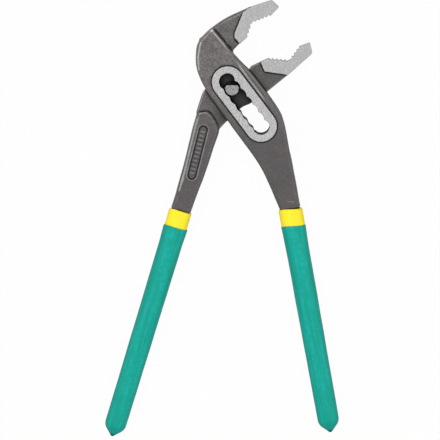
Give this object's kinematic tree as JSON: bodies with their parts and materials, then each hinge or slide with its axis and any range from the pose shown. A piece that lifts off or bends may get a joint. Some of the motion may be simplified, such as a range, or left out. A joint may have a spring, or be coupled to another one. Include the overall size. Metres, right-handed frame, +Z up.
{
  "type": "water pump pliers",
  "caption": "adjustable water pump pliers with a slotted box joint, pivot pin, toothed angled jaws and dipped handles, for gripping pipes and nuts of different widths",
  "frame": {"origin": "on the pivot pin's axis, in the plane of the lower ring face and the pin's lower end, which the tool lies on", "axes": "+Y towards the jaws, +Z up through the thickness of the flat-lying tool, +X to the lower jaw's side"},
  "size_m": [0.1333, 0.2495, 0.0154],
  "materials": {
    "forged_steel": "drop forged with a dark oxide skin, jaws and slot ring ground bright",
    "pin_steel": "turned, satin",
    "yellow_dip": "dipped PVC, satin",
    "green_dip": "dipped PVC, satin"
  },
  "bodies": {
    "upper_lever": {"upper_jaw_lever": "forged_steel", "right_base_sleeve": "yellow_dip", "right_grip": "green_dip"},
    "pin": {"pivot_pin": "pin_steel"},
    "lower_lever": {"lower_jaw_lever": "forged_steel", "left_base_sleeve": "yellow_dip", "left_grip": "green_dip"}
  },
  "joints": [
    {"name": "jaw_adjust", "type": "slide", "parent": "upper_lever", "child": "pin", "axis": [0.6011, -0.7992, 0], "range_m": [-0.00556, 0.0278]},
    {"name": "pivot", "type": "hinge", "parent": "pin", "child": "lower_lever", "pos_m": [0, 0, 0], "axis": [0, 0, 1], "range_deg": [-32, 18]}
  ]
}
